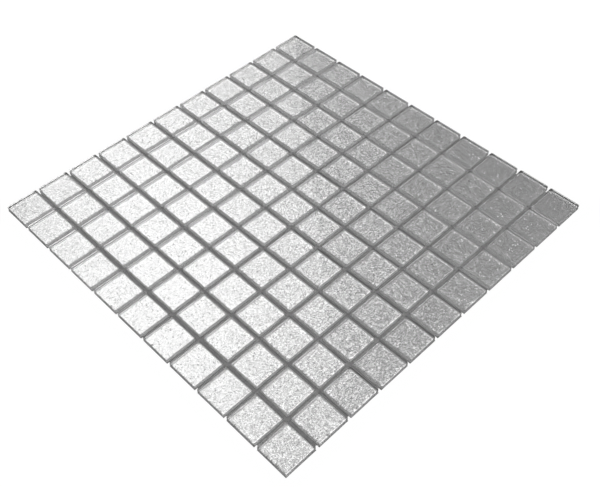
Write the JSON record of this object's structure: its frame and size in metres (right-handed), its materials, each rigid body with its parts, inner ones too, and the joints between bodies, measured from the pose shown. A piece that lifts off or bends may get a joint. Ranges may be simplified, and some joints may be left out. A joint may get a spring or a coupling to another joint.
{
  "type": "mosaic tile sheet",
  "caption": "Square sheet of small clear glass mosaic tiles with a silver foil back, in a grid with open joints, bonded to a grey net.",
  "frame": {"origin": "middle of the sheet's underside, on the plane that the net lies on", "axes": "X and Y along the sheet's edges and its joints, +Z out of the tiles' faces"},
  "size_m": [0.3003, 0.3004, 0.0044],
  "materials": {
    "clear_glass": "glossy, clear",
    "silver_coat": "finely crinkled silver leaf, with a pale paint on its back",
    "grey_net": "resin-coated grey glass fibre strands"
  },
  "bodies": {
    "root": {"glass_tiles_row_01": "clear_glass", "glass_tiles_row_02": "clear_glass", "glass_tiles_row_03": "clear_glass", "glass_tiles_row_04": "clear_glass", "glass_tiles_row_05": "clear_glass", "glass_tiles_row_06": "clear_glass", "glass_tiles_row_07": "clear_glass", "glass_tiles_row_08": "clear_glass", "glass_tiles_row_09": "clear_glass", "glass_tiles_row_10": "clear_glass", "glass_tiles_row_11": "clear_glass", "silver_coats_row_01": "silver_coat", "silver_coats_row_02": "silver_coat", "silver_coats_row_03": "silver_coat", "silver_coats_row_04": "silver_coat", "silver_coats_row_05": "silver_coat", "silver_coats_row_06": "silver_coat", "silver_coats_row_07": "silver_coat", "silver_coats_row_08": "silver_coat", "silver_coats_row_09": "silver_coat", "silver_coats_row_10": "silver_coat", "silver_coats_row_11": "silver_coat", "net_cross_strands": "grey_net", "net_long_strands": "grey_net"}
  },
  "joints": []
}
